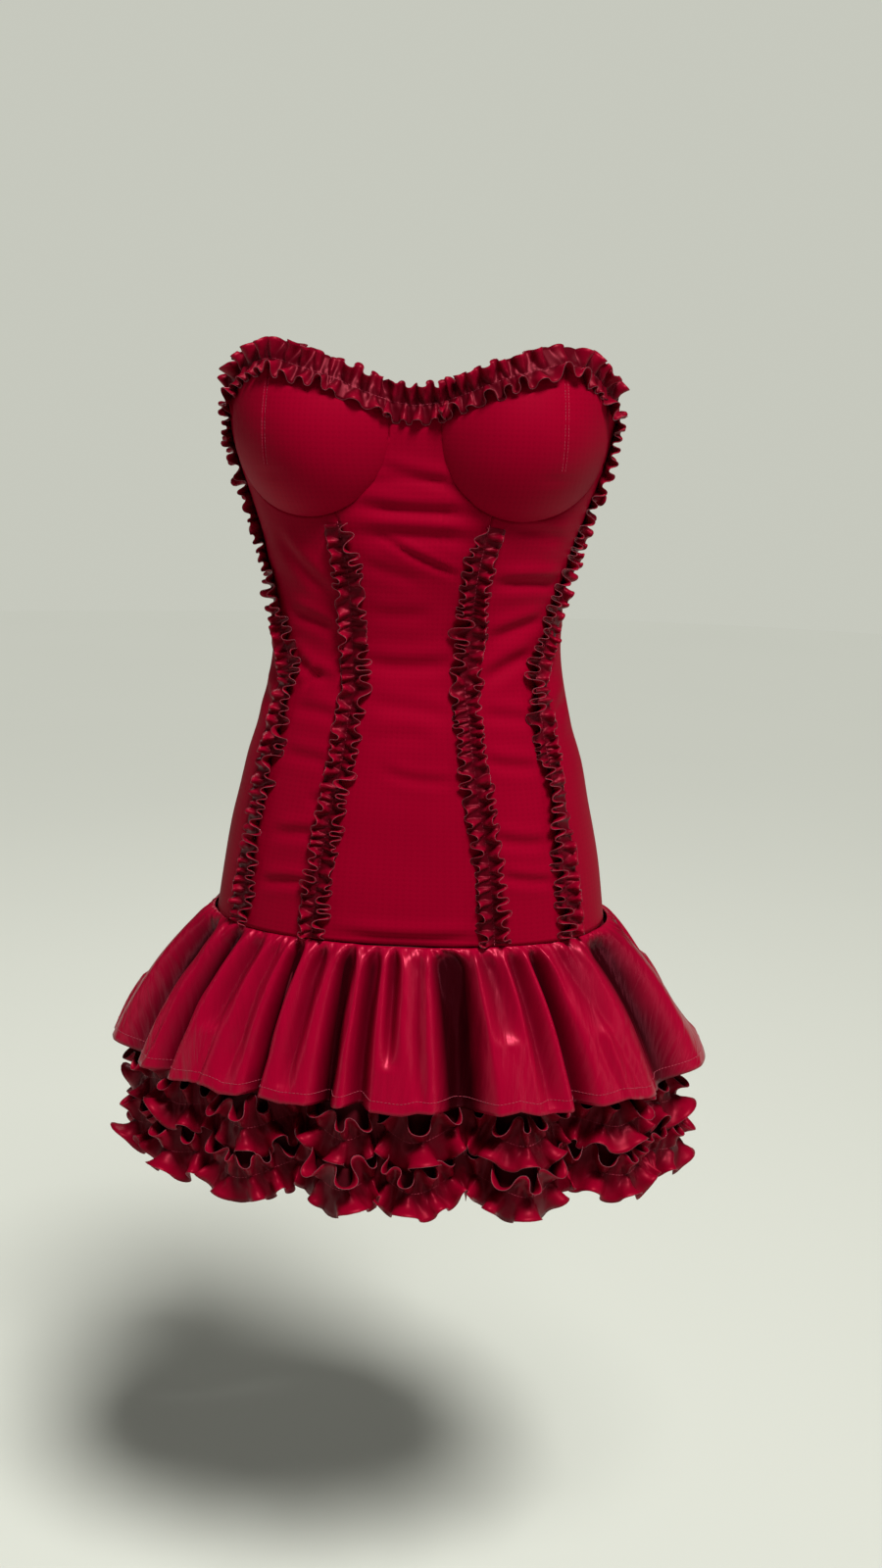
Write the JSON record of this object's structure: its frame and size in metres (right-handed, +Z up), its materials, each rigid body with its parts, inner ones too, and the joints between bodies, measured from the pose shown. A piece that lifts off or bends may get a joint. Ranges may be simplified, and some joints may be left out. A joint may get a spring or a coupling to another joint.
{
  "type": "mini dress",
  "caption": "Strapless fitted mini dress with moulded cups, gathered ruffle strips, a satin peplum and a ruffled underskirt, filled out as worn.",
  "frame": {"origin": "on the body's axis at the waist, the narrowest ring of the dress", "axes": "+Z up along the dress, the front faces -Y, the wearer's left side is at +X"},
  "size_m": [0.5552, 0.3927, 0.7438],
  "materials": {
    "stretch_cloth": "crimson stretch cloth, matte and smooth",
    "ruffle_cloth": "crimson cloth with an overlocked edge",
    "satin": "crimson satin, glossy",
    "underskirt_cloth": "crimson cloth, matte",
    "zip": "crimson zip tape and chain",
    "zip_metal": "crimson enamel"
  },
  "bodies": {
    "dress": {"front_center": "stretch_cloth", "front_side_L": "stretch_cloth", "front_side_R": "stretch_cloth", "side_L": "stretch_cloth", "side_R": "stretch_cloth", "back_L": "stretch_cloth", "back_R": "stretch_cloth", "cup_L": "stretch_cloth", "cup_R": "stretch_cloth", "neckline_ruffle": "ruffle_cloth", "outer_strip_L": "ruffle_cloth", "outer_strip_R": "ruffle_cloth", "inner_strip_L": "ruffle_cloth", "inner_strip_R": "ruffle_cloth", "peplum_front": "satin", "peplum_back": "satin", "underskirt_front": "underskirt_cloth", "underskirt_back": "underskirt_cloth", "upper_tier_front": "ruffle_cloth", "upper_tier_back": "ruffle_cloth", "lower_tier_front": "ruffle_cloth", "lower_tier_back": "ruffle_cloth", "zip_chain": "zip", "zip_slider": "zip_metal"},
    "pull_tab": {"zip_pull": "zip_metal"}
  },
  "joints": [
    {"name": "pull_tab_swing", "type": "hinge", "parent": "dress", "child": "pull_tab", "pos_m": [0, 0.1022, 0.1785], "axis": [1, 0, 0], "range_deg": [0, 160]}
  ]
}
